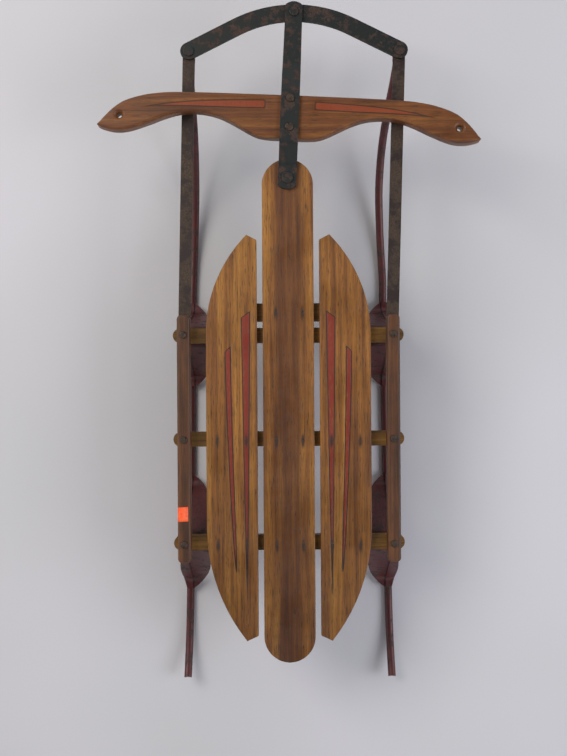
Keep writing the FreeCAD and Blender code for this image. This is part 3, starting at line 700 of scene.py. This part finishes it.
def runnerStrip(side):
    name = "left" if side < 0 else "right"
    section = runnerSection()
    line = rearPath(name) + frontPath(side, name)
    points = []
    for x, y, z, slope in line:
        for u, v in section:
            points.append(((x + u) * side, y - v * math.sin(slope), z + v * math.cos(slope)))
    count = len(section)
    faces = ringFaces(0, count, len(line))
    faces.append(tuple(reversed(range(count))))
    faces.append(tuple(range((len(line) - 1) * count, len(line) * count)))
    if side > 0:
        faces = [tuple(reversed(f)) for f in faces]
    tabPoints, tabFaces = tabMesh(side, len(points))
    piece = meshPiece(name + "_steel_runner", points + tabPoints, faces + tabFaces, runnerPaint)
    piece.data.set_sharp_from_angle(angle=math.radians(runner["sharpDegrees"]))
    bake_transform(piece)
    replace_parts(piece, name + "_runner", name + "_runner_front")


for side in (-1, 1):
    runnerStrip(side)


print("finishes on the kept pieces")
# these keep the shape of their solids and take a finish and softened edges
keptFinish = {
    "front_bench": benchWood, "middle_bench": benchWood, "rear_bench": benchWood, "front_cleat": benchWood,
    "left_rail": railWood, "right_rail": railWood, "rail_bolts": boltSteel, "handle_bolts": boltSteel,
    "steering_pin": blackSteel, "bow": blackSteel, "bow_rivets": blackSteel, "centre_bar": blackSteel,
    "left_strap": strapSteel, "right_strap": strapSteel, "left_front_knee": runnerPaint,
    "right_front_knee": runnerPaint, "left_rear_knee": runnerPaint, "right_rear_knee": runnerPaint,
}
wornEdge = {"width": 0.0006, "segments": 2, "limit_method": "ANGLE", "angle_limit": math.radians(40)}
for node, finish in keptFinish.items():
    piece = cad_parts[node]
    piece.data.materials.clear()
    piece.data.materials.append(finish)
    soft = piece.modifiers.new("worn_edges", "BEVEL")
    for setting, value in wornEdge.items():
        setattr(soft, setting, value)


print("label")
# a small sticker over the rail's outer edge, its inner edge lifting a little
label = {"front": -224.0, "rear": -245.0, "inner": -145.8, "wrap": 1.1, "thick": 0.12, "gap": 0.02,
         "railRound": 3.5, "curl": 0.075, "skew": 0.06, "steps": 6}


def priceLabel():
    (lowX, lowY, lowZ), (highX, highY, highZ) = boxMm("left_rail")
    bend, steps = label["railRound"], label["steps"]
    profile = [(label["inner"], highZ)]
    for i in range(9):
        turn = math.pi / 2 * i / 8
        profile.append((lowX + bend - bend * math.sin(turn), highZ - bend + bend * math.cos(turn)))
    profile.append((lowX, highZ - bend - label["wrap"]))
    count = len(profile)
    points = []
    for k in range(steps + 1):
        y = label["rear"] + (label["front"] - label["rear"]) * k / steps
        curl = label["curl"] * (1 - abs(2 * k / steps - 1))
        for lift in (label["gap"], label["gap"] + label["thick"]):
            for x, z in profile:
                outX = lift if z < highZ - 0.05 else 0
                outZ = lift if z > highZ - bend else 0
                rise = curl if x == label["inner"] else 0
                points.append((x - outX, y + (x - outX - lowX) * label["skew"], z + outZ + rise))
    faces = []
    for k in range(steps):
        for i in range(count - 1):
            a = k * 2 * count + i
            faces.append((a + count, a + count + 1, a + 3 * count + 1, a + 3 * count))
            faces.append((a, a + 2 * count, a + 2 * count + 1, a + 1))
    for i in range(count - 1):
        a = steps * 2 * count + i
        faces.append((i, i + 1, i + count + 1, i + count))
        faces.append((a, a + count, a + count + 1, a + 1))
    for k in range(steps):
        for i in (0, count - 1):
            a = k * 2 * count + i
            faces.append((a, a + count, a + 3 * count, a + 2 * count))
    piece = meshPiece("blank_price_label", points, faces, paperMaterial())
    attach(piece, "frame")


priceLabel()


print("floor, light and camera")
studio = {
    "floorSize": 80, "floor": [(0.35, "#C4C5C9"), (0.65, "#CDCCD3")],
    "room": [(0.0, "#E6E6E6"), (0.62, "#E2E2E4"), (0.9, "#4A4A4C")],
    "lamps": {
        "ceiling_panel": {"place": (-1.5, 0.9, 2.0), "size": 1.3, "power": 34.5, "tint": "#FFF8EE"},
        "side_window": {"place": (1.9, -0.4, 1.6), "size": 1.2, "power": 24.0, "tint": "#F6F8FF"},
    },
    "camera": (-0.0053, -0.0727, 1.531), "roll": -0.355, "lens": 45.35, "sensor": 36.0,
    "shift": (-0.002, 0.0317),
}


def layFloor():
    bpy.ops.mesh.primitive_plane_add(size=studio["floorSize"], location=(0, 0, 0))
    floor = bpy.context.object
    floor.name = "studio_floor"
    # matt painted board, even pale grey
    material, tree, shader, place = newMaterial("floor_painted_board")
    faint = cloud(tree, place, 600.0, 2.0, 0.5)
    connect(tree, shader, {"Base Color": addNode(tree, rampNode, {0: faint}, stops=studio["floor"])})
    shader.inputs["Roughness"].default_value = 0.9
    floor.data.materials.append(material)


def lightRoom():
    # a dim ceiling and bright walls, so flat tops keep their own colour
    world = bpy.data.worlds.new("room_light")
    scene.world = world
    world.use_nodes = True
    tree = world.node_tree
    spot = addNode(tree, "ShaderNodeTexCoord", out="Generated")
    height = addNode(tree, "ShaderNodeSeparateXYZ", {0: spot}, out=2)
    back = tree.nodes["Background"]
    connect(tree, back, {"Color": addNode(tree, rampNode, {0: height}, stops=studio["room"])})
    back.inputs["Strength"].default_value = 1.0
    for name, look in studio["lamps"].items():
        lamp = bpy.data.lights.new(name, "AREA")
        lamp.size, lamp.energy, lamp.color = look["size"], look["power"], linearColour(look["tint"])[:3]
        holder = bpy.data.objects.new(name, lamp)
        scene.collection.objects.link(holder)
        holder.location = look["place"]
        holder.rotation_euler = (-Vector(look["place"])).to_track_quat("-Z", "Y").to_euler()


def setCamera():
    camera = bpy.data.cameras.new("camera")
    camera.lens, camera.sensor_width = studio["lens"], studio["sensor"]
    camera.shift_x, camera.shift_y = studio["shift"]
    viewer = bpy.data.objects.new("camera", camera)
    scene.collection.objects.link(viewer)
    viewer.location = studio["camera"]
    viewer.rotation_euler = (0, 0, math.radians(studio["roll"]))
    scene.camera = viewer
    scene.view_settings.view_transform = "Standard"


layFloor()
lightRoom()
setCamera()
print("done")
